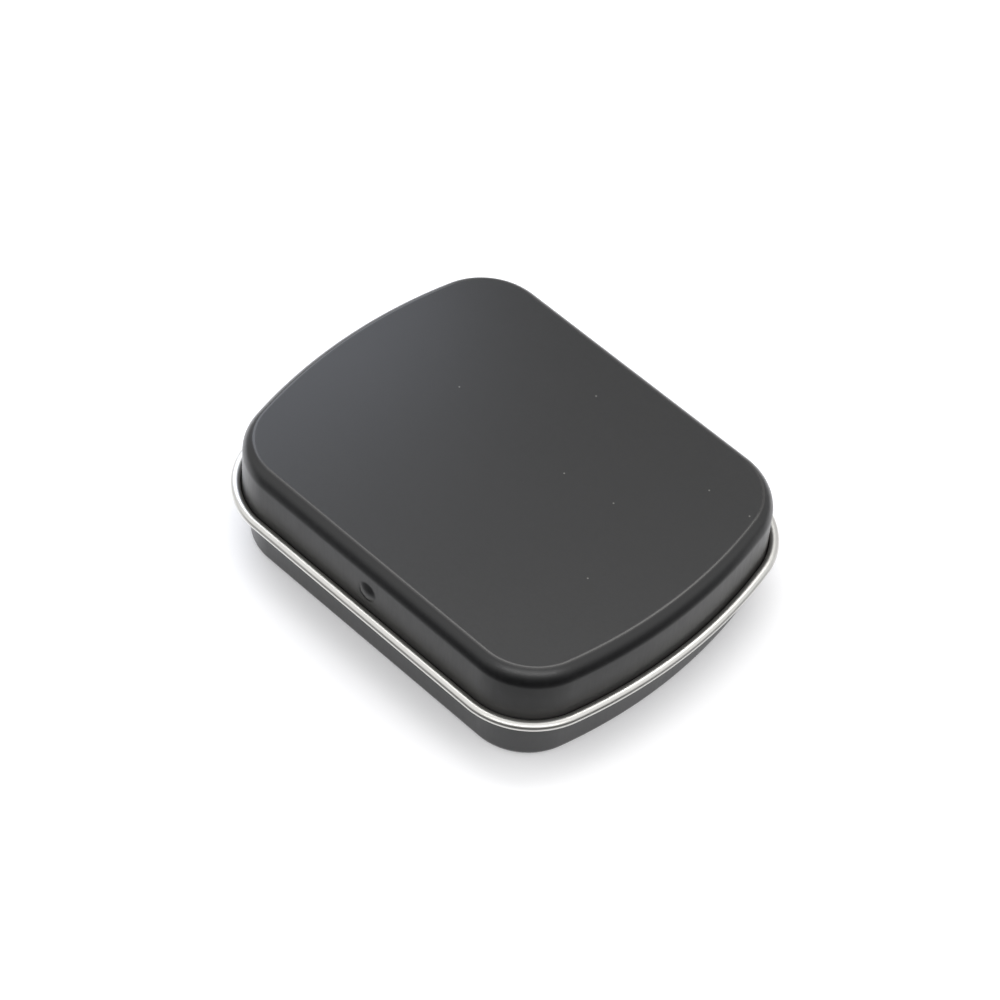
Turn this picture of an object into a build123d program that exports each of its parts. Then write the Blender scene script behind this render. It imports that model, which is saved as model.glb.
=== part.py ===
from build123d import *
import math
import os

# A small hinged mint tin, closed: two pressings of drawn tinplate, a base tray and a lid.
# Lengths are in millimetres and angles in degrees.
# +X runs along the tin, -Y is the front with the snap pip, +Y is the hinge side, +Z is up.
# The origin is the middle of the flat underside, on the surface that the tin stands on.

# The whole tin, measured over the lid's rolled edge
tin_length = 60.0
tin_width = 48.4
tin_height = 16.5
end_bow_radius = 66.54
corner_radius = 8.94
sheet = 0.25

# The lid, from its flat panel down to its rolled edge
shoulder_radius = 2.7
ridge_inset = 1.39
lid_foot_radius = 0.30
lid_roll_radius = 0.66
lid_roll_offset = 0.76
lid_roll_height = 8.36
lid_roll_turn = 240.0

# The snap pip, pressed outward in the middle of the lid's front wall
pip_width = 2.7
pip_height = 0.35

# The base tray, and the edge rolled inward along its top, which stays this far under the lid's panel
base_gap = 0.84
base_head_gap = 0.85
base_foot_radius = 1.0
base_roll_radius = 0.50
base_roll_turn = 240.0

# The two hinge tongues, lanced from the base's rear wall and hooked over the lid's roll
tongue_width = 5.0
tongue_spacing = 24.0
tongue_clearance = 0.08
tongue_bend_radius = 0.25
tongue_hook_turn = 195.0
lancing_slit = 0.12
rim_band = 1.0

# The windows in the lid's rear wall that let the tongues through
window_side_gap = 0.30
window_head_gap = 0.40
window_foot_reach = 0.40

# How many short flats draw a bend that is too small, or too far inside, to need a true arc
roll_flat_count = 8
inner_roll_flat_count = 4
foot_flat_count = 6
inner_bend_flat_count = 3

# How far a cutting solid runs past what it cuts
overrun = 1.0

# Places worked out from the sizes above
lid_half_length = tin_length / 2 - lid_roll_offset - lid_roll_radius
lid_half_width = tin_width / 2 - lid_roll_offset - lid_roll_radius
lid_foot_height = lid_roll_height - lid_roll_radius + sheet + lid_foot_radius
ridge_angle = math.degrees(math.acos(1 - ridge_inset / shoulder_radius))
lid_wall_top = tin_height - shoulder_radius * math.sin(math.radians(ridge_angle))
base_inset = sheet + base_gap
base_wall_top = tin_height - sheet - base_head_gap - base_roll_radius
rear_wall_y = lid_half_width - base_inset
hinge_y = lid_half_width + lid_roll_offset
hook_radius = lid_roll_radius + tongue_clearance
neck_height = lid_roll_height + hook_radius
tongue_root_height = neck_height - tongue_bend_radius

# Centres of the plan's arcs, which every offset of the outline shares
bow_x = lid_half_length - end_bow_radius
corner_y = lid_half_width - corner_radius
corner_x = bow_x + math.sqrt((end_bow_radius - corner_radius) ** 2 - corner_y**2)
bow_angle = math.degrees(math.asin(corner_y / (end_bow_radius - corner_radius)))


def plan(offset):
    """The tin's plan as a closed wire, this far outside the lid's outer face."""
    side_y = lid_half_width + offset
    corner = corner_radius + offset
    bow = end_bow_radius + offset
    with BuildLine() as wire:
        Line((0, -side_y), (corner_x, -side_y))
        CenterArc((corner_x, -corner_y), corner, -90, 90 - bow_angle)
        CenterArc((bow_x, 0), bow, -bow_angle, 2 * bow_angle)
        CenterArc((corner_x, corner_y), corner, bow_angle, 90 - bow_angle)
        Line((corner_x, side_y), (-corner_x, side_y))
        CenterArc((-corner_x, corner_y), corner, 90, 90 - bow_angle)
        CenterArc((-bow_x, 0), bow, 180 - bow_angle, 2 * bow_angle)
        CenterArc((-corner_x, -corner_y), corner, 180 + bow_angle, 90 - bow_angle)
        Line((-corner_x, -side_y), (0, -side_y))
    return wire.wire()


def plate(offset, height):
    """A flat sheet inside the plan, with its underside at this height."""
    face = make_face(Pos(0, 0, height) * plan(offset))
    return extrude(face, sheet, dir=(0, 0, 1))


def curve(centre, radius, start, turn, flat_count):
    """One side of a bend: short flats along the arc, or with none of them the true arc."""
    if flat_count == 0:
        return CenterArc(centre, radius, start, turn)
    angles = [math.radians(start + turn * i / flat_count) for i in range(flat_count + 1)]
    return Polyline([(centre[0] + radius * math.cos(a), centre[1] + radius * math.sin(a)) for a in angles])


def bend(centre, radius, start, turn, outer_count=0, inner_count=0):
    """The section of a bend in the sheet, measured to its outer side."""
    with BuildSketch() as section:
        with BuildLine():
            outside = curve(centre, radius, start, turn, outer_count)
            inside = curve(centre, radius - sheet, start, turn, inner_count)
            Line(outside @ 0, inside @ 0)
            Line(outside @ 1, inside @ 1)
        make_face()
    return section.sketch


def run(low, high):
    """The section of a straight run of the sheet, between two opposite corners."""
    with BuildSketch() as section:
        with BuildLine():
            Polyline(low, (high[0], low[1]), high, (low[0], high[1]), close=True)
        make_face()
    return section.sketch


def carry(section):
    """Carry a section round the tin. Its X is the way out from the lid's outer face, its Y is up."""
    across = Plane(origin=(0, -lid_half_width, 0), x_dir=(0, -1, 0), z_dir=(-1, 0, 0))
    return sweep(sections=(across * section).faces(), path=plan(0))


def block(low, high):
    """A box between two opposite corners."""
    size = [b - a for a, b in zip(low, high)]
    middle = [(a + b) / 2 for a, b in zip(low, high)]
    return Pos(*middle) * Box(*size)


def tongue_places():
    """The middle of each hinge tongue along the tin."""
    return [-tongue_spacing / 2, tongue_spacing / 2]


def lid_cover():
    """The lid's panel, shoulder and wall, with the snap pip and the hinge windows."""
    wall = run((-sheet, lid_foot_height), (0, lid_wall_top))
    middle = (-shoulder_radius, lid_wall_top)
    shoulder = bend(middle, shoulder_radius, 0, ridge_angle, 0, inner_bend_flat_count)
    cover = carry(wall + shoulder) + plate(-ridge_inset, tin_height - sheet)
    return snap_pip(cover) - hinge_windows()


def snap_pip(cover):
    """Press a round pip outward in the middle of the lid's front wall."""
    pip_place_height = (lid_foot_height + base_wall_top) / 2
    ball_radius = ((pip_width / 2) ** 2 + pip_height**2) / (2 * pip_height)
    ball_place = Pos(0, -lid_half_width + ball_radius - pip_height, pip_place_height)
    reach = pip_width
    ahead = block(
        (-reach, -lid_half_width - reach, pip_place_height - reach),
        (reach, -lid_half_width, pip_place_height + reach),
    )
    bump = (ball_place * Sphere(ball_radius)) & ahead
    return cover + bump - ball_place * Sphere(ball_radius - sheet)


def hinge_windows():
    """The openings in the lid's rear wall, from its foot up to clear of the tongues."""
    half = tongue_width / 2 + window_side_gap
    head = neck_height + sheet + window_head_gap
    return [
        block(
            (x - half, lid_half_width - sheet - overrun, lid_foot_height - overrun),
            (x + half, lid_half_width + overrun, head),
        )
        for x in tongue_places()
    ]


def lid_rolled_edge():
    """The lid's foot, turned out and rolled up into a bead that is the hinge's pin at the rear."""
    roll_foot = lid_roll_height - lid_roll_radius
    foot_middle = (lid_foot_radius, lid_foot_height)
    foot_radius = lid_foot_radius + sheet
    foot = bend(foot_middle, foot_radius, 180, 90, inner_bend_flat_count, inner_bend_flat_count)
    flange = run((lid_foot_radius, roll_foot), (lid_roll_offset, roll_foot + sheet))
    roll_middle = (lid_roll_offset, lid_roll_height)
    counts = (roll_flat_count, inner_roll_flat_count)
    roll = bend(roll_middle, lid_roll_radius, -90, lid_roll_turn, *counts)
    half = tongue_width / 2 + window_side_gap
    notches = [
        block(
            (x - half, lid_half_width - sheet - overrun, roll_foot - overrun),
            (x + half, hinge_y - window_foot_reach, lid_roll_height),
        )
        for x in tongue_places()
    ]
    return carry(foot + flange + roll) - notches


def base_tray():
    """The base's floor, foot bend and wall, with the openings that the tongues are lanced from."""
    foot_offset = -base_inset - base_foot_radius
    middle = (foot_offset, base_foot_radius)
    foot = bend(middle, base_foot_radius, -90, 90, foot_flat_count, inner_bend_flat_count)
    wall = run((-base_inset - sheet, base_foot_radius), (-base_inset, base_wall_top))
    half = tongue_width / 2 + lancing_slit
    lancings = [
        block(
            (x - half, rear_wall_y - sheet - overrun, tongue_root_height),
            (x + half, rear_wall_y + overrun, base_wall_top - rim_band),
        )
        for x in tongue_places()
    ]
    return carry(foot + wall) + plate(foot_offset, 0) - lancings


def base_rolled_edge():
    """The base's top edge, rolled inward so that no cut edge is left to touch."""
    middle = (-base_inset - base_roll_radius, base_wall_top)
    counts = (roll_flat_count, inner_roll_flat_count)
    return carry(bend(middle, base_roll_radius, 0, base_roll_turn, *counts))


def hinge_tongue(x):
    """A tongue bent out of the base's rear wall, through the lid's window and over its roll."""
    bend_y = rear_wall_y + tongue_bend_radius
    root = bend((bend_y, tongue_root_height), tongue_bend_radius + sheet, 90, 90)
    neck = run((bend_y, neck_height), (hinge_y, neck_height + sheet))
    hook_start = 90 - tongue_hook_turn
    hook = bend((hinge_y, lid_roll_height), hook_radius + sheet, hook_start, tongue_hook_turn)
    profile = Plane.YZ.offset(x) * (root + neck + hook)
    return extrude(profile, tongue_width / 2, both=True)


left_x, right_x = tongue_places()
nodes = {
    "base_tray": base_tray(),
    "base_rolled_edge": base_rolled_edge(),
    "hinge_tongue_left": hinge_tongue(left_x),
    "hinge_tongue_right": hinge_tongue(right_x),
    "lid_cover": lid_cover(),
    "lid_rolled_edge": lid_rolled_edge(),
}

os.makedirs("parts", exist_ok=True)
for name, solid in nodes.items():
    solid.label = name
    export_step(solid, f"parts/{name}.step")
    print(name, len(solid.solids()), "solid,", round(solid.volume, 3), "cubic mm")
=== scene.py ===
# %% [markdown]
# # A hinged mint tin, closed
# The real object is two pressings of drawn tinplate: a base tray, and a lid that turns on its own rolled edge.
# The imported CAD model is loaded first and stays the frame: every size and place below is the CAD's own.
# The dressed pieces are made again here with true bends, a soft crease and a sheet thickness, because a CAD
# mesh is made of loose flat triangles, and a lacquered bend shows every one of them.

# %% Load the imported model
import math

import bmesh
import bpy
from mathutils import Matrix, Vector


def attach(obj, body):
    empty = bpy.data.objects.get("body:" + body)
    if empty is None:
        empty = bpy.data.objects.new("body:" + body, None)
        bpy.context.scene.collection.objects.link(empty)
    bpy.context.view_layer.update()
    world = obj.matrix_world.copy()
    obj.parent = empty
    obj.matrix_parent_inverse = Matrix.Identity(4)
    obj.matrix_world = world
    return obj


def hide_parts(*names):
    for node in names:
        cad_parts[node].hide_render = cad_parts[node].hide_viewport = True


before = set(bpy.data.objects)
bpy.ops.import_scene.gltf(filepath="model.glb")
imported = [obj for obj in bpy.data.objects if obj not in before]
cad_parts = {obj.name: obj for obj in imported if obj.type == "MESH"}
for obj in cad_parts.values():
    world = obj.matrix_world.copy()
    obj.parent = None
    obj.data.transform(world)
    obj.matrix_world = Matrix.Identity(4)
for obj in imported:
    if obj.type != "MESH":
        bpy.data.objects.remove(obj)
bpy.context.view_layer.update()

# %% [markdown]
# ## The camera
# The photograph looks down on the tin from its front right corner with a long lens.
# Its place was worked out from the outline of the tin and of its lid, so it is written as an orbit about the
# origin: a turn about Z, a tilt and a small roll, then a little aside and up, and a long way back. Lengths here
# are in millimetres, and one factor turns them into Blender's metres.

# %% Place the camera
MM = 0.001
camera_turn, camera_height, camera_roll = 41.101, 49.621, 5.196
aside_up_and_back = Vector((-0.0368, 6.4336, 456.9))
camera_data = bpy.data.cameras.new("photo_camera")
camera_data.sensor_width = 36.0
camera_data.lens = 135.89
camera = bpy.data.objects.new("photo_camera", camera_data)
bpy.context.scene.collection.objects.link(camera)
orientation = (
    Matrix.Rotation(math.radians(camera_turn), 3, "Z")
    @ Matrix.Rotation(math.radians(90 - camera_height), 3, "X")
    @ Matrix.Rotation(math.radians(camera_roll), 3, "Z")
)
camera.matrix_world = Matrix.Translation(orientation @ aside_up_and_back * MM) @ orientation.to_4x4()
bpy.context.scene.camera = camera
bpy.context.scene.view_settings.view_transform = "Standard"
print("Camera at, mm:", [round(value / MM, 1) for value in camera.location])

# %% [markdown]
# ## The sizes
# The outline has two straight long sides, four round corners and two bowed ends. Each arc keeps its centre
# when the outline is drawn further in or out, so one rule places every ring of every piece: a centre, plus a
# radius along the way that the surface faces.

# %% Write down the sizes, in millimetres and degrees
sheet = 0.25
tin_height = 16.5
half_length, half_width = 28.58, 22.78
corner_radius, bow_radius = 8.94, 66.54

bow_x = half_length - bow_radius
corner_y = half_width - corner_radius
corner_x = bow_x + math.sqrt((bow_radius - corner_radius) ** 2 - corner_y**2)
bow_angle = math.asin(corner_y / (bow_radius - corner_radius))
print("Corner centre:", round(corner_x, 2), round(corner_y, 2))
print("Each bow turns", round(math.degrees(bow_angle), 1), "degrees each way")

# %% [markdown]
# ## Sections
# A pressing is easiest to describe by its section, as the press tool's maker draws it: a chain of points, with
# X the way out from the lid's outer face and Y the way up. Arcs are chains of short steps.

# %% A helper for the arcs of a section
def arc(centre, radius, start, turn, steps):
    """Points along an arc, from the start angle through the turn, in degrees."""
    angles = [math.radians(start + turn * i / steps) for i in range(steps + 1)]
    return [(centre[0] + radius * math.cos(a), centre[1] + radius * math.sin(a)) for a in angles]


# %% [markdown]
# ## One helper for all node trees
# Both Geometry Nodes and materials are trees of nodes, so one small function serves both: it adds a node, sets
# its settings, and fills each input with a value or a link.

# %% Add a node
def add(tree, kind, inputs={}, **settings):
    """Adds a node of this kind, with its settings by name and its inputs as values or links."""
    made = tree.nodes.new(kind)
    for name, value in settings.items():
        setattr(made, name, value)
    for socket, value in inputs.items():
        if isinstance(value, bpy.types.NodeSocket):
            tree.links.new(value, made.inputs[socket])
        else:
            made.inputs[socket].default_value = value
    return made


# %% [markdown]
# ## Carrying a section round the outline
# Every pressed part of the tin is one section carried round the outline, so one Geometry Nodes tree makes
# them all. It starts from a flat grid. A column becomes a direction round the tin, and a row becomes a point of
# the section.

# %% Start the tree: a grid, and the direction that each column faces
tree = bpy.data.node_groups.new("Carry a section round the outline", "GeometryNodeTree")
tree_inputs = {
    "Section": "Geometry", "Columns": "Int",
    "Corner centre": "Vector", "Corner radius": "Float",
    "Bow centre": "Vector", "Bow radius": "Float", "Bow angle": "Float",
    "Finish": "Material",
}
for name, kind in tree_inputs.items():
    tree.interface.new_socket(name, in_out="INPUT", socket_type="NodeSocket" + kind)
tree.interface.new_socket("Shell", in_out="OUTPUT", socket_type="NodeSocketGeometry")
given = add(tree, "NodeGroupInput").outputs

# The grid: one column for each direction, and one more that closes the ring
rows = add(tree, "GeometryNodeAttributeDomainSize", {"Geometry": given["Section"]}).outputs["Point Count"]
last_row = add(tree, "ShaderNodeMath", {0: rows, 1: 1.0}, operation="SUBTRACT").outputs[0]
columns_and_one = add(tree, "ShaderNodeMath", {0: given["Columns"], 1: 1.0}).outputs[0]
grid = add(tree, "GeometryNodeMeshGrid", {
    "Size X": given["Columns"], "Size Y": last_row, "Vertices X": columns_and_one, "Vertices Y": rows,
}).outputs["Mesh"]

# Which column and row a point is in
position = add(tree, "GeometryNodeInputPosition").outputs[0]
cell = add(tree, "ShaderNodeSeparateXYZ", {0: position}).outputs
column = add(tree, "ShaderNodeMath", {
    0: given["Columns"], 1: 0.5, 2: cell["X"],
}, operation="MULTIPLY_ADD").outputs[0]
row = add(tree, "ShaderNodeMath", {0: last_row, 1: 0.5, 2: cell["Y"]}, operation="MULTIPLY_ADD").outputs[0]
row_number = add(tree, "ShaderNodeMath", {0: row}, operation="ROUND").outputs[0]

# The direction that the column faces
turn = add(tree, "ShaderNodeMath", {0: column, 1: given["Columns"]}, operation="DIVIDE").outputs[0]
angle = add(tree, "ShaderNodeMath", {0: turn, 1: 2 * math.pi}, operation="MULTIPLY").outputs[0]
east = add(tree, "ShaderNodeMath", {0: angle}, operation="COSINE").outputs[0]
north = add(tree, "ShaderNodeMath", {0: angle}, operation="SINE").outputs[0]
facing = add(tree, "ShaderNodeCombineXYZ", {"X": east, "Y": north}).outputs[0]
quarter = add(tree, "ShaderNodeVectorMath", {0: facing}, operation="SIGN").outputs[0]
print("Nodes in the tree so far:", len(tree.nodes))

# %% [markdown]
# ## The place of each point
# A point goes to the centre of its arc, plus the arc's radius and the section's offset along the direction.
# The straight sides need no rule of their own: they are the long faces where the centre changes. For that no
# column may face straight to a side, so the number of columns isn't a multiple of four.

# %% Find each point's place
# The point of the outline: on a corner's arc, or on an end's bow
corner_reach = add(tree, "ShaderNodeVectorMath", {
    0: facing, "Scale": given["Corner radius"],
}, operation="SCALE").outputs[0]
on_corner = add(tree, "ShaderNodeVectorMath", {
    0: quarter, 1: given["Corner centre"], 2: corner_reach,
}, operation="MULTIPLY_ADD").outputs[0]
bow_reach = add(tree, "ShaderNodeVectorMath", {
    0: facing, "Scale": given["Bow radius"],
}, operation="SCALE").outputs[0]
on_bow = add(tree, "ShaderNodeVectorMath", {
    0: quarter, 1: given["Bow centre"], 2: bow_reach,
}, operation="MULTIPLY_ADD").outputs[0]
aside = add(tree, "ShaderNodeMath", {0: north}, operation="ABSOLUTE").outputs[0]
bow_limit = add(tree, "ShaderNodeMath", {0: given["Bow angle"]}, operation="SINE").outputs[0]
is_bow = add(tree, "FunctionNodeCompare", {
    0: aside, 1: bow_limit,
}, data_type="FLOAT", operation="LESS_THAN").outputs[0]
outline = add(tree, "GeometryNodeSwitch", {
    "Switch": is_bow, "False": on_corner, "True": on_bow,
}, input_type="VECTOR").outputs[0]

# The row's point of the section, set out from the outline
section_point = add(tree, "GeometryNodeSampleIndex", {
    "Geometry": given["Section"], "Value": position, "Index": row_number,
}, data_type="FLOAT_VECTOR").outputs["Value"]
out_and_up = add(tree, "ShaderNodeSeparateXYZ", {0: section_point}).outputs
set_out = add(tree, "ShaderNodeVectorMath", {
    0: facing, "Scale": out_and_up["X"],
}, operation="SCALE").outputs[0]
lift = add(tree, "ShaderNodeCombineXYZ", {"Z": out_and_up["Y"]}).outputs[0]
at_offset = add(tree, "ShaderNodeVectorMath", {0: outline, 1: set_out}).outputs[0]
place = add(tree, "ShaderNodeVectorMath", {0: at_offset, 1: lift}).outputs[0]
print("Nodes in the tree so far:", len(tree.nodes))

# %% [markdown]
# ## The finished shell
# The finishes read two numbers that each point takes from the section: how far along the section it lies, and
# whether it is in the crease. Then the grid goes to its place, its first and last columns are joined, and
# millimetres become metres.

# %% Mark, place and finish the shell
marked = grid
for name in ("across", "crease"):
    field = add(tree, "GeometryNodeInputNamedAttribute", {
        "Name": name,
    }, data_type="FLOAT").outputs["Attribute"]
    of_row = add(tree, "GeometryNodeSampleIndex", {
        "Geometry": given["Section"], "Value": field, "Index": row_number,
    }, data_type="FLOAT").outputs["Value"]
    marked = add(tree, "GeometryNodeStoreNamedAttribute", {
        "Geometry": marked, "Name": name, "Value": of_row,
    }, data_type="FLOAT").outputs[0]

# Points of the seam closer together than this, in millimetres, become one
seam = 0.0005
placed = add(tree, "GeometryNodeSetPosition", {"Geometry": marked, "Position": place}).outputs[0]
closed = add(tree, "GeometryNodeMergeByDistance", {"Geometry": placed, "Distance": seam}).outputs[0]
shrunk = add(tree, "GeometryNodeTransform", {"Geometry": closed, "Scale": (MM, MM, MM)}).outputs[0]
real = add(tree, "GeometryNodeRealizeInstances", {"Geometry": shrunk}).outputs[0]
finished = add(tree, "GeometryNodeSetMaterial", {"Geometry": real, "Material": given["Finish"]}).outputs[0]
add(tree, "NodeGroupOutput", {"Shell": finished})
carry_tree = tree
print("Nodes in the tree:", len(tree.nodes))

# %% [markdown]
# ## Colours
# A colour is picked as it looks on a screen, but the renderer adds light in linear values, so one function
# turns a screen colour into a linear one.

# %% Turn a screen colour linear
def colour(code):
    """The linear colour of a code such as 2b2c2e."""
    parts = [int(code[i:i + 2], 16) / 255 for i in (0, 2, 4)]
    return [part / 12.92 if part <= 0.04045 else ((part + 0.055) / 1.055) ** 2.4 for part in parts] + [1.0]


# %% [markdown]
# ## The black lacquer
# The tin is printed flat and then pressed: a roller lays a thin matt black lacquer on the tinplate sheet, and
# an oven bakes it. Up close it has the faint orange peel of a rolled coat, and where the press drew the metal
# down, that peel is stretched into upright marks. A matt coat spreads what it reflects, so the eye
# sees soft grey slopes in place of images.

# %% Make the coat
to_mm = 1 / MM
lacquer = bpy.data.materials.new("Matt black roller lacquer on tinplate")
lacquer.use_nodes = True
tree = lacquer.node_tree
tree.nodes.clear()
place = add(tree, "ShaderNodeTexCoord").outputs["Object"]
in_mm = add(tree, "ShaderNodeMapping", {"Vector": place, "Scale": (to_mm, to_mm, to_mm)}).outputs[0]
# Clouds of a slightly thinner and thicker coat, about 9 mm across
clouds = add(tree, "ShaderNodeTexNoise", {
    "Vector": in_mm, "Scale": 0.11, "Detail": 4.0, "Roughness": 0.6,
}).outputs[0]
thin_and_thick = add(tree, "ShaderNodeMapRange", {
    "Value": clouds, "From Min": 0.3, "From Max": 0.7,
}).outputs[0]
# The peel: real grains are about 0.1 mm, and are drawn at 0.4 mm, because finer ones vanish at this distance
drawn_down = add(tree, "ShaderNodeMapping", {"Vector": place, "Scale": (to_mm, to_mm, 0.16 * to_mm)}).outputs[0]
peel = add(tree, "ShaderNodeTexNoise", {
    "Vector": drawn_down, "Scale": 2.6, "Detail": 3.0, "Roughness": 0.55,
}).outputs[0]
coat = add(tree, "ShaderNodeMix", {
    "Factor": thin_and_thick, 6: colour("101112"), 7: colour("151516"),
}, data_type="RGBA").outputs[2]
speckled = add(tree, "ShaderNodeMix", {
    "Factor": peel, 6: colour("0c0c0d"), 7: coat,
}, data_type="RGBA").outputs[2]
print("Lacquer nodes so far:", len(tree.nodes))

# %% [markdown]
# ## Wear, painted light and dust on the lacquer
# Along the crease the coat is lighter and smoother: partly rubbed by the tool, and partly a painted highlight
# that brightens the pale line there. Beside the lid's bead and under the base's foot, which is where their
# sections start, the coat is painted lighter over less than two millimetres, as painted light that lifts the
# shade in those hollows. A few specks of pale dust, each about 0.2 mm wide, lie on the panel: one in about
# every sixth cell of 6 mm, and none on the walls.

# %% Wear the coat, paint light on it and dust it
share_without_dust, under_panel = 0.84, 16.3
crease_mask = add(tree, "ShaderNodeAttribute", attribute_name="crease").outputs["Fac"]
cells = add(tree, "ShaderNodeTexVoronoi", {"Vector": in_mm, "Scale": 0.16}, voronoi_dimensions="2D").outputs
cell_luck = add(tree, "ShaderNodeSeparateColor", {"Color": cells["Color"]}).outputs["Red"]
lucky = add(tree, "ShaderNodeMath", {0: cell_luck, 1: share_without_dust}, operation="GREATER_THAN").outputs[0]
speck = add(tree, "ShaderNodeMapRange", {
    "Value": cells["Distance"], "From Min": 0.008, "From Max": 0.022, "To Min": 0.35, "To Max": 0.0,
}).outputs[0]
up_in_mm = add(tree, "ShaderNodeSeparateXYZ", {0: in_mm}).outputs["Z"]
on_panel = add(tree, "ShaderNodeMath", {0: up_in_mm, 1: under_panel}, operation="GREATER_THAN").outputs[0]
lucky_on_panel = add(tree, "ShaderNodeMath", {0: lucky, 1: on_panel}, operation="MULTIPLY").outputs[0]
dust = add(tree, "ShaderNodeMath", {0: speck, 1: lucky_on_panel}, operation="MULTIPLY").outputs[0]
# Along the crease the coat is painted lighter: partly rubbed wear, and partly a painted highlight for the pale
# line
crease_wear_and_highlight = add(tree, "ShaderNodeMath", {0: crease_mask, 1: 0.45}, operation="MULTIPLY").outputs[0]
from_start = add(tree, "ShaderNodeAttribute", attribute_name="across").outputs["Fac"]
# Lighter near the start of each section, by the lid's bead and under the base's foot: painted light that lifts
# the shade there
painted_light_near_start = add(tree, "ShaderNodeMapRange", {
    "Value": from_start, "From Min": 0.6, "From Max": 1.8, "To Min": 0.62, "To Max": 0.0,
}, interpolation_type="SMOOTHSTEP").outputs[0]
wear_and_painted_light = add(tree, "ShaderNodeMath", {0: crease_wear_and_highlight, 1: painted_light_near_start}, operation="MAXIMUM").outputs[0]
worn_and_painted_coat = add(tree, "ShaderNodeMix", {
    "Factor": wear_and_painted_light, 6: speckled, 7: colour("4b4a49"),
}, data_type="RGBA").outputs[2]
dusty = add(tree, "ShaderNodeMix", {
    "Factor": dust, 6: worn_and_painted_coat, 7: colour("b9b7b2"),
}, data_type="RGBA").outputs[2]
coat_gloss = add(tree, "ShaderNodeMapRange", {
    "Value": peel, "From Min": 0.3, "From Max": 0.7, "To Min": 0.31, "To Max": 0.37,
}).outputs[0]
gloss = add(tree, "ShaderNodeMath", {0: crease_mask, 1: -0.12, 2: coat_gloss}, operation="MULTIPLY_ADD").outputs[0]
relief = add(tree, "ShaderNodeBump", {"Height": peel, "Strength": 0.8, "Distance": 0.008 * MM}).outputs[0]
shader = add(tree, "ShaderNodeBsdfPrincipled", {
    "Base Color": dusty, "Roughness": gloss, "Normal": relief, "IOR": 1.6,
}).outputs[0]
add(tree, "ShaderNodeOutputMaterial", {"Surface": shader})
print("Lacquer nodes:", len(tree.nodes))

# %% [markdown]
# ## The bare tinplate
# The inner side of the sheet has no lacquer. It is mild steel under a thin bright coat of tin: whiter than
# steel, with the fine lines of the rolling mill running along the tin. Where the lid's foot is rolled outward,
# this inner side turns out, and the curling tool burnishes lines round the bead instead. So there are two
# finishes of the same metal, and they differ only in which way their lines run.

# %% Make the two tinplate finishes
def tinplate(name, lines_along_x):
    """Bare tinplate, with its lines along the tin, or else round the bead."""
    material = bpy.data.materials.new(name)
    material.use_nodes = True
    tree = material.node_tree
    tree.nodes.clear()
    place = add(tree, "ShaderNodeTexCoord").outputs["Object"]
    in_mm = add(tree, "ShaderNodeMapping", {"Vector": place, "Scale": (to_mm, to_mm, to_mm)}).outputs[0]
    if lines_along_x:
        # Mill lines are about 0.05 mm apart, drawn at 0.2 mm so that they show
        stretched = add(tree, "ShaderNodeMapping", {
            "Vector": place, "Scale": (0.06 * to_mm, to_mm, to_mm),
        }).outputs[0]
        lines = add(tree, "ShaderNodeTexNoise", {"Vector": stretched, "Scale": 5.0, "Detail": 3.0}).outputs[0]
    else:
        # Burnished lines are as fine, and are drawn 0.2 mm apart and about 8 mm long
        across = add(tree, "ShaderNodeAttribute", attribute_name="across").outputs["Fac"]
        slow = add(tree, "ShaderNodeVectorMath", {0: in_mm, "Scale": 0.12}, operation="SCALE").outputs[0]
        slow_parts = add(tree, "ShaderNodeSeparateXYZ", {0: slow}).outputs
        bead_place = add(tree, "ShaderNodeCombineXYZ", {
            "X": slow_parts["X"], "Y": slow_parts["Y"], "Z": across,
        }).outputs[0]
        along_bead = add(tree, "ShaderNodeMapping", {"Vector": bead_place, "Scale": (1, 1, 6)}).outputs[0]
        lines = add(tree, "ShaderNodeTexNoise", {
            "Vector": along_bead, "Scale": 1.0, "Detail": 4.0,
        }).outputs[0]
    # Patches about 3 mm across, where the coat of tin is duller
    patches = add(tree, "ShaderNodeTexNoise", {"Vector": in_mm, "Scale": 0.35, "Detail": 3.0}).outputs[0]
    tin = add(tree, "ShaderNodeMix", {
        "Factor": patches, 6: colour("e2e1dd"), 7: colour("f3f2ee"),
    }, data_type="RGBA").outputs[2]
    lined = add(tree, "ShaderNodeMix", {
        "Factor": lines, 6: colour("d4d3cf"), 7: tin,
    }, data_type="RGBA").outputs[2]
    gloss = add(tree, "ShaderNodeMapRange", {
        "Value": lines, "From Min": 0.3, "From Max": 0.7, "To Min": 0.29, "To Max": 0.36,
    }).outputs[0]
    relief = add(tree, "ShaderNodeBump", {
        "Height": lines, "Strength": 0.06, "Distance": 0.003 * MM,
    }).outputs[0]
    shader = add(tree, "ShaderNodeBsdfPrincipled", {
        "Base Color": lined, "Roughness": gloss, "Normal": relief, "Metallic": 1.0,
    }).outputs[0]
    add(tree, "ShaderNodeOutputMaterial", {"Surface": shader})
    return material


mill_tin = tinplate("Bare tinplate, mill lines along the tin", True)
bead_tin = tinplate("Bare tinplate, burnished round the bead", False)
print("Tinplate finishes:", mill_tin.name, "and", bead_tin.name)

# %% [markdown]
# ## From a section to a shell
# The section becomes a chain of edges in a new object, the tree carries it round, and the result is taken as
# a plain mesh. The seam is closed already; the flat middle of the lid and of the base is one face.

# %% Helpers that carry a section and settle a piece
column_count = 358


def settle(piece):
    """Replaces a piece's mesh with what its modifiers make of it."""
    graph = bpy.context.evaluated_depsgraph_get()
    final = piece.evaluated_get(graph)
    mesh = bpy.data.meshes.new_from_object(final, preserve_all_data_layers=True, depsgraph=graph)
    piece.modifiers.clear()
    piece.data = mesh
    mesh.name = piece.name


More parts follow.
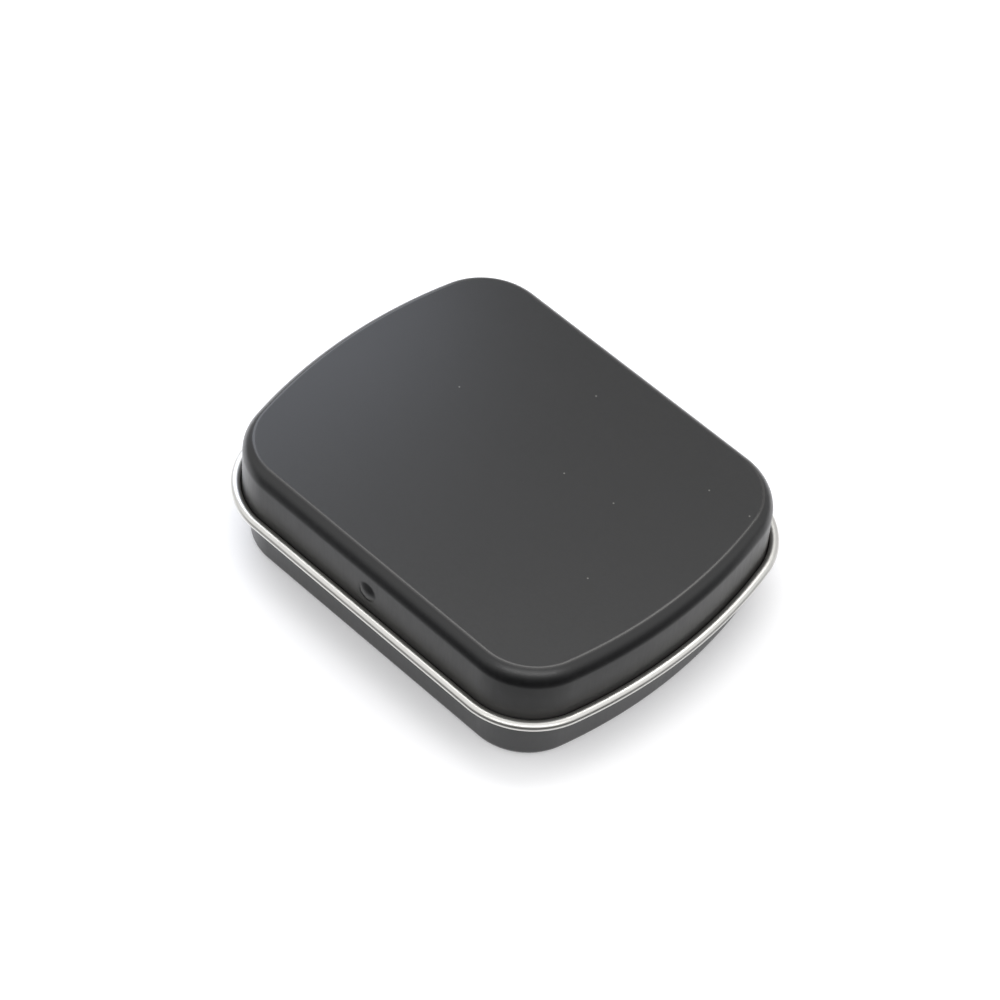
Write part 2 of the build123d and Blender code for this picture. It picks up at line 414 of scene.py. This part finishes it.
def carry(name, section, finish, creased=()):
    """The section carried round the outline, as a thin surface with this finish."""
    mesh = bpy.data.meshes.new(name)
    mesh.from_pydata([(x, y, 0) for x, y in section], [(i, i + 1) for i in range(len(section) - 1)], [])
    lengths = [0.0]
    for a, b in zip(section, section[1:]):
        lengths.append(lengths[-1] + math.dist(a, b))
    mesh.attributes.new("across", "FLOAT", "POINT").data.foreach_set("value", lengths)
    in_crease = [float(i in creased) for i in range(len(section))]
    mesh.attributes.new("crease", "FLOAT", "POINT").data.foreach_set("value", in_crease)
    piece = bpy.data.objects.new(name, mesh)
    bpy.context.scene.collection.objects.link(piece)
    modifier = piece.modifiers.new("carry", "NODES")
    modifier.node_group = carry_tree
    values = {
        "Columns": column_count, "Finish": finish,
        "Corner centre": (corner_x, corner_y, 0.0), "Corner radius": corner_radius,
        "Bow centre": (bow_x, 0.0, 0.0), "Bow radius": bow_radius, "Bow angle": bow_angle,
    }
    for item in carry_tree.interface.items_tree:
        if item.in_out == "INPUT" and item.name in values:
            modifier[item.identifier] = values[item.name]
    settle(piece)
    return piece


def close_flat(piece, height, faces_up):
    """Closes the open ring at this height with one flat face."""
    shell = bmesh.new()
    shell.from_mesh(piece.data)
    hair = 1e-6
    edges = [e for e in shell.edges if e.is_boundary]
    ring = [e for e in edges if all(abs(v.co.z - height * MM) < hair for v in e.verts)]
    flat = bmesh.ops.edgenet_fill(shell, edges=ring)["faces"][0]
    if (flat.normal.z > 0) != faces_up:
        flat.normal_flip()
    shell.to_mesh(piece.data)
    shell.free()


# %% [markdown]
# ## Giving the sheet its thickness, and cutting it
# Solidify grows each surface into a sheet, on the side away from where it faces, and gives the new side the
# second finish. The hinge's openings are then cut with plain blocks, as a punch would cut them, and the cut
# edges show bare metal. Smooth shading stops at any edge sharper than the bends' own steps.

# %% Helpers for thickness, cuts and shading
def thicken(piece, inner_finish):
    """Grows the surface into the sheet. The inner side and the rims take the inner finish."""
    piece.data.materials.append(inner_finish)
    solid = piece.modifiers.new("sheet", "SOLIDIFY")
    solid.thickness = sheet * MM
    solid.offset = -1
    solid.use_even_offset = True
    solid.material_offset = 1
    solid.material_offset_rim = 1
    settle(piece)


def punch(piece, blocks, cut_finish_index):
    """Cuts blocks out of the sheet, each given by two opposite corners in millimetres."""
    for low, high in blocks:
        mesh = bpy.data.meshes.new("punch")
        x_ends, y_ends, z_ends = [(a * MM, b * MM) for a, b in zip(low, high)]
        corners = [(x, y, z) for x in x_ends for y in y_ends for z in z_ends]
        sides = [(0, 1, 3, 2), (4, 6, 7, 5), (0, 4, 5, 1), (2, 3, 7, 6), (0, 2, 6, 4), (1, 5, 7, 3)]
        mesh.from_pydata(corners, [], sides)
        tool = bpy.data.objects.new("punch", mesh)
        bpy.context.scene.collection.objects.link(tool)
        for finish in piece.data.materials:
            mesh.materials.append(finish)
        mesh.polygons.foreach_set("material_index", [cut_finish_index] * len(mesh.polygons))
        cut = piece.modifiers.new("cut", "BOOLEAN")
        cut.object = tool
        cut.operation = "DIFFERENCE"
        cut.solver = "EXACT"
        settle(piece)
        bpy.data.objects.remove(tool)
        bpy.data.meshes.remove(mesh)


def smooth(piece, sharpest=40.0):
    """Shades the bends smooth and keeps real edges sharp."""
    piece.data.shade_smooth()
    piece.data.set_sharp_from_angle(angle=math.radians(sharpest))
    piece.data.update()
    triangles = sum(len(p.vertices) - 2 for p in piece.data.polygons)
    ends = [[round(f(v.co[i] for v in piece.data.vertices) / MM, 2) for i in range(3)] for f in (min, max)]
    print(piece.name, "has", triangles, "triangles, from", ends[0], "to", ends[1])


# %% [markdown]
# ## The lid
# The lid's wall rises from the rolled foot, turns over a round shoulder and stops at a crease, inside which
# the panel is flat. The shoulder still slopes by 35 degrees where it stops, so the crease is a real corner of
# the sheet. A press can't make it sharp, so it is drawn as a small arc that turns the rest of the way. That
# arc mirrors the lamp overhead, which gives the thin pale line round the panel.

# %% Draw the lid's section and carry it round
foot_height = 8.25
shoulder_radius, ridge_inset = 2.7, 1.39
ridge_angle = math.degrees(math.acos(1 - ridge_inset / shoulder_radius))
wall_top = tin_height - shoulder_radius * math.sin(math.radians(ridge_angle))

# Rows close to the ends of the wall and of the panel keep their shading flat
wall_end, panel_start, panel_row = 0.1, 0.08, 0.5
wall = [(0.0, foot_height), (0.0, foot_height + wall_end), (0.0, wall_top - wall_end)]
# The shoulder stops a few degrees early, and the crease's arc turns the rest of the way
crease_radius, crease_steps, early = 0.65, 6, 6
shoulder = arc((-shoulder_radius, wall_top), shoulder_radius, 0, ridge_angle - early, 24)
crease_turn = 90 - ridge_angle + early
crease_x = shoulder[-1][0] - crease_radius * math.sin(math.radians(crease_turn))
crease_y = shoulder[-1][1] - crease_radius * math.cos(math.radians(crease_turn))
crease = arc((crease_x, crease_y), crease_radius, 90 - crease_turn, crease_turn, crease_steps)
panel_height = crease[-1][1]
panel = [(crease_x - panel_start, panel_height), (crease_x - panel_row, panel_height)]
section = wall + shoulder + crease[1:] + panel
crease_start = len(wall) + len(shoulder)
crease_end = crease_start + crease_steps - 1
lid_shell = carry("lid_shell", section, lacquer, creased=range(crease_start, crease_end))
close_flat(lid_shell, panel_height, faces_up=True)
print("Wall up to", round(wall_top, 2), "mm, panel at", round(panel_height, 3), "mm")
print("Crease from", round(shoulder[-1][0], 2), "to", round(crease_x, 2), "mm in from the wall")

# %% [markdown]
# ## The snap pip
# A round punch presses a low pip outward in the middle of the front wall, where the closed lid meets the base's
# edge. It could be a ball joined on, but the real pip is the wall itself, so the wall is moved. The wall is one
# long face there, so it is first sliced into small squares. Each corner of them then moves out by the height of
# the ball at that place, with a soft lip where the ball meets the wall. Its lower half mirrors the white paper
# and its upper half the dim room, and that is how a black pip shows on a black wall.

# %% Press the pip
pip_width, pip_height = 2.7, 0.35
base_wall_top = 14.9
pip_middle = (foot_height + base_wall_top) / 2
ball_radius = ((pip_width / 2) ** 2 + pip_height**2) / (2 * pip_height)
shell = bmesh.new()
shell.from_mesh(lid_shell.data)
reach, step = 1.8, 0.1
straight_reach, flatness, lip_softness = 19, 0.005, 0.002


def on_front(v):
    """Whether a point lies on the straight part of the front wall."""
    return abs(v.co.y + half_width * MM) < flatness * MM and abs(v.co.x) < straight_reach * MM


cuts = [step * i - reach for i in range(round(2 * reach / step) + 1)]
slices = [((cut * MM, 0, 0), (1, 0, 0)) for cut in cuts]
slices += [((0, 0, (pip_middle + cut) * MM), (0, 0, 1)) for cut in cuts]
for through, across_way in slices:
    front = [f for f in shell.faces if all(on_front(v) for v in f.verts)]
    parts = list({v for f in front for v in f.verts} | {e for f in front for e in f.edges}) + front
    bmesh.ops.bisect_plane(shell, geom=parts, plane_co=through, plane_no=across_way, dist=1e-8)
moved = 0
for v in shell.verts:
    away = math.hypot(v.co.x / MM, v.co.z / MM - pip_middle)
    if on_front(v) and away < reach:
        ball = math.sqrt(ball_radius**2 - away**2) - (ball_radius - pip_height)
        height = (ball + math.sqrt(ball**2 + lip_softness)) / 2
        v.co.y -= height * MM
        moved += 1
shell.to_mesh(lid_shell.data)
shell.free()
print("Pip:", moved, "points pressed out, up to", pip_height, "mm")

# %% [markdown]
# ## The hinge windows
# Behind, the lid's wall has two windows, open at the foot. The base's tongues reach through them and hook over
# the bead, so the bead's place is written down here.

# %% Thicken the lid and punch its windows
roll_radius, roll_offset, roll_height = 0.66, 0.76, 8.36
tongue_width, tongue_spacing, tongue_clearance, tongue_bend_radius = 5.0, 24.0, 0.08, 0.25
window_side_gap, window_head_gap, window_foot_reach = 0.30, 0.40, 0.40
overrun = 1.0
tongue_places = (-tongue_spacing / 2, tongue_spacing / 2)
neck_height = roll_height + roll_radius + tongue_clearance
window_half = tongue_width / 2 + window_side_gap
window_head = neck_height + sheet + window_head_gap
window_inside = half_width - sheet - overrun
thicken(lid_shell, mill_tin)
window_foot, window_outside = foot_height - overrun, half_width + overrun
punch(lid_shell, [
    ((x - window_half, window_inside, window_foot), (x + window_half, window_outside, window_head))
    for x in tongue_places
], 1)
smooth(lid_shell)

# %% [markdown]
# ## The rolled edge
# The lid's foot turns out into a narrow flange and rolls up into a bead, so that no cut edge is left to the
# hand. The bead is the bright ring in the photograph. It is also the hinge's pin at the rear. The section
# follows the sheet's bare side, and the lacquered side is the one hidden in the roll.

# %% Draw the bead's section and carry it round
foot_radius, roll_turn = 0.30, 240
foot = arc((foot_radius, foot_height), foot_radius + sheet, 180, 90, 8)
roll = arc((roll_offset, roll_height), roll_radius, -90, roll_turn, 32)
lid_bead = carry("lid_bead", foot + roll, bead_tin)
thicken(lid_bead, lacquer)
hinge_y = half_width + roll_offset
notch_foot, notch_outside = roll_height - roll_radius - overrun, hinge_y - window_foot_reach
punch(lid_bead, [
    ((x - window_half, window_inside, notch_foot), (x + window_half, notch_outside, roll_height))
    for x in tongue_places
], 0)
smooth(lid_bead)

# %% [markdown]
# ## The base
# The base tray is drawn like the lid, smaller all round so that the lid slides over it. Its foot is a tight
# round bend, and its top edge is rolled inward. The tongues' openings are cut in its rear wall.

# %% Draw the base and its inward roll
base_inset, base_foot, base_roll = 1.09, 1.0, 0.50
lancing_slit, rim_band, floor_row = 0.12, 1.0, 0.6
floor_ring = [(-base_inset - base_foot - floor_row, 0.0)]
foot = arc((-base_inset - base_foot, base_foot), base_foot, -90, 90, 14)
wall = [(-base_inset, base_foot + wall_end), (-base_inset, base_wall_top)]
base_shell = carry("base_shell", floor_ring + foot + wall, lacquer)
close_flat(base_shell, 0.0, faces_up=False)
thicken(base_shell, mill_tin)
rear_wall_y = half_width - base_inset
lancing_half = tongue_width / 2 + lancing_slit
lancing_foot, lancing_head = neck_height - tongue_bend_radius, base_wall_top - rim_band
lancing_inside, lancing_outside = rear_wall_y - sheet - overrun, rear_wall_y + overrun
punch(base_shell, [
    ((x - lancing_half, lancing_inside, lancing_foot), (x + lancing_half, lancing_outside, lancing_head))
    for x in tongue_places
], 1)
smooth(base_shell)
roll = arc((-base_inset - base_roll, base_wall_top), base_roll, 0, roll_turn, 28)
base_bead = carry("base_bead", roll, lacquer)
thicken(base_bead, mill_tin)
smooth(base_bead)

# %% [markdown]
# ## The hinge tongues
# Each tongue is a strip of the base's own wall, cut free on three sides, bent out level through the lid's
# window and hooked over the bead. Its shape is one bent line given a width and a thickness, with the cut
# edges slightly eased.

# %% Bend the tongues
hook_turn, eased_edge = 195, 0.03


def tongue(name, middle):
    """A hinge tongue with its middle at this place along the tin."""
    bend_y, bend_z = rear_wall_y + tongue_bend_radius, neck_height - tongue_bend_radius
    root = arc((bend_y, bend_z), tongue_bend_radius + sheet, 180, -90, 8)
    hook = arc((hinge_y, roll_height), roll_radius + tongue_clearance + sheet, 90, -hook_turn, 24)
    line = root + hook
    sides = [middle - tongue_width / 2, middle + tongue_width / 2]
    mesh = bpy.data.meshes.new(name)
    points = [(x * MM, y * MM, z * MM) for x in sides for y, z in line]
    n = len(line)
    mesh.from_pydata(points, [], [(i, n + i, n + i + 1, i + 1) for i in range(n - 1)])
    mesh.materials.append(mill_tin)
    piece = bpy.data.objects.new(name, mesh)
    bpy.context.scene.collection.objects.link(piece)
    thicken(piece, lacquer)
    ease = piece.modifiers.new("ease", "BEVEL")
    ease.width = eased_edge * MM
    ease.segments = 2
    ease.limit_method = "ANGLE"
    ease.angle_limit = math.radians(60)
    settle(piece)
    smooth(piece)
    return piece


left_place, right_place = tongue_places
tongue_left = tongue("tongue_left", left_place)
tongue_right = tongue("tongue_right", right_place)

# %% [markdown]
# ## The floor
# The tin stands on plain white paper, which the lamps light and which keeps the tin's soft shadow. The paper
# also gives a little light of its own, which lifts it to white, more of it for shiny surfaces and less of it
# close beside the tin: the halved glow there is painted shade that deepens the tin's shadow.

# %% Lay the paper
half_side = 3.0
floor_corners = [(half_side * x, half_side * y, 0) for x, y in ((-1, -1), (1, -1), (1, 1), (-1, 1))]
floor_mesh = bpy.data.meshes.new("paper_floor")
floor_mesh.from_pydata(floor_corners, [], [(0, 1, 2, 3)])
floor = bpy.data.objects.new("paper_floor", floor_mesh)
bpy.context.scene.collection.objects.link(floor)
paper = bpy.data.materials.new("White studio paper")
paper.use_nodes = True
tree = paper.node_tree
tree.nodes.clear()
ray = add(tree, "ShaderNodeLightPath").outputs
place = add(tree, "ShaderNodeTexCoord").outputs["Object"]
matt = add(tree, "ShaderNodeBsdfDiffuse", {"Color": colour("f4f4f5")}).outputs[0]
# How far out a place is, on a rounded square that is a little longer along X, as the tin is
oval = add(tree, "ShaderNodeMapping", {"Vector": place, "Scale": (0.88 / MM, 1 / MM, 0)}).outputs[0]
sides = add(tree, "ShaderNodeVectorMath", {0: oval}, operation="ABSOLUTE").outputs[0]
squares = add(tree, "ShaderNodeVectorMath", {0: sides, 1: sides}, operation="MULTIPLY").outputs[0]
cubes = add(tree, "ShaderNodeVectorMath", {0: squares, 1: sides}, operation="DOT_PRODUCT").outputs["Value"]
away = add(tree, "ShaderNodeMath", {0: cubes, 1: 1 / 3}, operation="POWER").outputs[0]
lift = add(tree, "ShaderNodeMath", {
    0: ray["Is Glossy Ray"], 1: 0.3, 2: 0.2,
}, operation="MULTIPLY_ADD").outputs[0]
# Half the glow close beside the tin: painted shade that deepens its shadow there
painted_shade_beside = add(tree, "ShaderNodeMapRange", {
    "Value": away, "From Min": 22.0, "From Max": 31.0, "To Min": 0.5, "To Max": 1.0,
}, interpolation_type="SMOOTHSTEP").outputs[0]
lifted = add(tree, "ShaderNodeMath", {0: lift, 1: painted_shade_beside}, operation="MULTIPLY").outputs[0]
glow = add(tree, "ShaderNodeEmission", {"Color": colour("fdfdff"), "Strength": lifted}).outputs[0]
lit_paper = add(tree, "ShaderNodeAddShader", {0: matt, 1: glow}).outputs[0]
print("Paper:", round(2 * half_side, 1), "m wide")

# %% [markdown]
# ## The table that the lacquer mirrors
# For shiny surfaces alone the paper fades into a table, which is dark and close by on the camera's side, and
# dim and further out behind the tin. Black lacquer mirrors that fade as the dark band under the shoulder. It is
# written by a mix shader, because a real edge of the paper would stand in the picture.

# %% Fade the mirrored paper into a table
past_edge = add(tree, "ShaderNodeMapRange", {
    "Value": away, "From Min": 24.0, "From Max": 42.0, "To Min": 0.0, "To Max": 1.0,
}, interpolation_type="SMOOTHSTEP").outputs[0]
# The camera's side of the paper, and how straight a place lies towards the camera
camera_way = Vector((0.695, -0.719, 0.0))
toward_camera = add(tree, "ShaderNodeVectorMath", {
    0: place, 1: camera_way / MM,
}, operation="DOT_PRODUCT").outputs["Value"]
camera_side = add(tree, "ShaderNodeMapRange", {
    "Value": toward_camera, "From Min": -20.0, "From Max": 15.0, "To Min": 0.0, "To Max": 1.0,
}, interpolation_type="SMOOTHSTEP").outputs[0]
near_edge = add(tree, "ShaderNodeMath", {0: past_edge, 1: camera_side}, operation="MULTIPLY").outputs[0]
far_edge = add(tree, "ShaderNodeMapRange", {
    "Value": away, "From Min": 55.0, "From Max": 95.0, "To Min": 0.0, "To Max": 1.0,
}, interpolation_type="SMOOTHSTEP").outputs[0]
shown = add(tree, "ShaderNodeMath", {0: near_edge, 1: far_edge}, operation="MAXIMUM").outputs[0]
mirrored = add(tree, "ShaderNodeMath", {0: shown, 1: ray["Is Glossy Ray"]}, operation="MULTIPLY").outputs[0]
outward = add(tree, "ShaderNodeVectorMath", {0: place}, operation="NORMALIZE").outputs[0]
facing_camera = add(tree, "ShaderNodeVectorMath", {
    0: outward, 1: camera_way,
}, operation="DOT_PRODUCT").outputs["Value"]
table_level = add(tree, "ShaderNodeMapRange", {
    "Value": facing_camera, "From Min": 1.0, "From Max": -1.0, "To Min": 0.0, "To Max": 0.6,
}).outputs[0]
table = add(tree, "ShaderNodeEmission", {"Color": colour("fafafc"), "Strength": table_level}).outputs[0]
both = add(tree, "ShaderNodeMixShader", {"Fac": mirrored, 1: lit_paper, 2: table}).outputs[0]
add(tree, "ShaderNodeOutputMaterial", {"Surface": both})
floor_mesh.materials.append(paper)
print("Paper nodes:", len(tree.nodes))

# %% [markdown]
# ## The room
# Black lacquer has hardly any colour of its own, so what the eye sees on it is the room. Each step over the
# round shoulder mirrors another height of the room, from the paper to the ceiling, and so its greys tell how
# bright the room was all round. It was bright above, dark where the camera stood, and dimmer at the back. The
# camera itself sees plain white.

# %% Light the room
world = bpy.data.worlds.new("studio_room")
bpy.context.scene.world = world
world.use_nodes = True
tree = world.node_tree
tree.nodes.clear()
ray = add(tree, "ShaderNodeLightPath").outputs
way = add(tree, "ShaderNodeTexCoord").outputs["Generated"]
height = add(tree, "ShaderNodeSeparateXYZ", {0: way}).outputs["Z"]
facing_camera = add(tree, "ShaderNodeVectorMath", {
    0: way, 1: camera_way,
}, operation="DOT_PRODUCT").outputs["Value"]
past_dark = add(tree, "ShaderNodeMath", {
    0: facing_camera, 1: -0.5, 2: height,
}, operation="MULTIPLY_ADD").outputs[0]
open_room = add(tree, "ShaderNodeMapRange", {
    "Value": past_dark, "From Min": -0.5, "From Max": 0.2, "To Min": 0.0, "To Max": 1.0,
}, interpolation_type="SMOOTHSTEP").outputs[0]
back_wall = add(tree, "ShaderNodeMapRange", {
    "Value": facing_camera, "From Min": 0.1, "From Max": -0.6, "To Min": 1.0, "To Max": 0.64,
}, interpolation_type="SMOOTHSTEP").outputs[0]
level = add(tree, "ShaderNodeMath", {0: open_room, 1: back_wall}, operation="MULTIPLY").outputs[0]
room = add(tree, "ShaderNodeBackground", {"Color": colour("ffffff"), "Strength": level}).outputs[0]
white = add(tree, "ShaderNodeBackground", {"Color": colour("ffffff"), "Strength": 1.0}).outputs[0]
seen = add(tree, "ShaderNodeMixShader", {"Fac": ray["Is Camera Ray"], 1: room, 2: white}).outputs[0]
add(tree, "ShaderNodeOutputWorld", {"Surface": seen})
print("Room nodes:", len(tree.nodes))

# %% [markdown]
# ## The lamps
# Three soft boxes add to the room: a cool one by the left end for the sheen there, one overhead for the crease
# and the panel, and a long one over the camera for the second line on the near corner.

# %% Hang the soft boxes
def soft_box(name, place, size, level, tint, faces=(0, 0, 8)):
    """A soft box at this place, with these two sides, facing a point. A level of 1 looks white."""
    data = bpy.data.lights.new(name, "AREA")
    data.shape = "RECTANGLE"
    data.size, data.size_y = size[0] * MM, size[1] * MM
    data.color = colour(tint)[:3]
    data.energy = level * math.pi * data.size * data.size_y
    lamp = bpy.data.objects.new(name, data)
    bpy.context.scene.collection.objects.link(lamp)
    lamp.location = Vector(place) * MM
    lamp.rotation_euler = (Vector(faces) * MM - lamp.location).to_track_quat("-Z", "Y").to_euler()


soft_box("window_box", (-82, 15, 62), (90, 60), 1.6, "e6eeff")
soft_box("tube_box", (-42, 162, 480), (580, 200), 2.15, "fffefc", faces=(60, 60, 8))
soft_box("back_tube", (370, -383, 416), (900, 90), 4.2, "ffffff")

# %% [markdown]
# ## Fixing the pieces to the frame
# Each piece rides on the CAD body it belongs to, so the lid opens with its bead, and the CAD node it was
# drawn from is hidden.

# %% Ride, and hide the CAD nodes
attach(lid_shell, "lid")
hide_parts("lid_cover")
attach(lid_bead, "lid")
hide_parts("lid_rolled_edge")
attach(base_shell, "base")
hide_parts("base_tray")
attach(base_bead, "base")
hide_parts("base_rolled_edge")
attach(tongue_left, "base")
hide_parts("hinge_tongue_left")
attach(tongue_right, "base")
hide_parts("hinge_tongue_right")
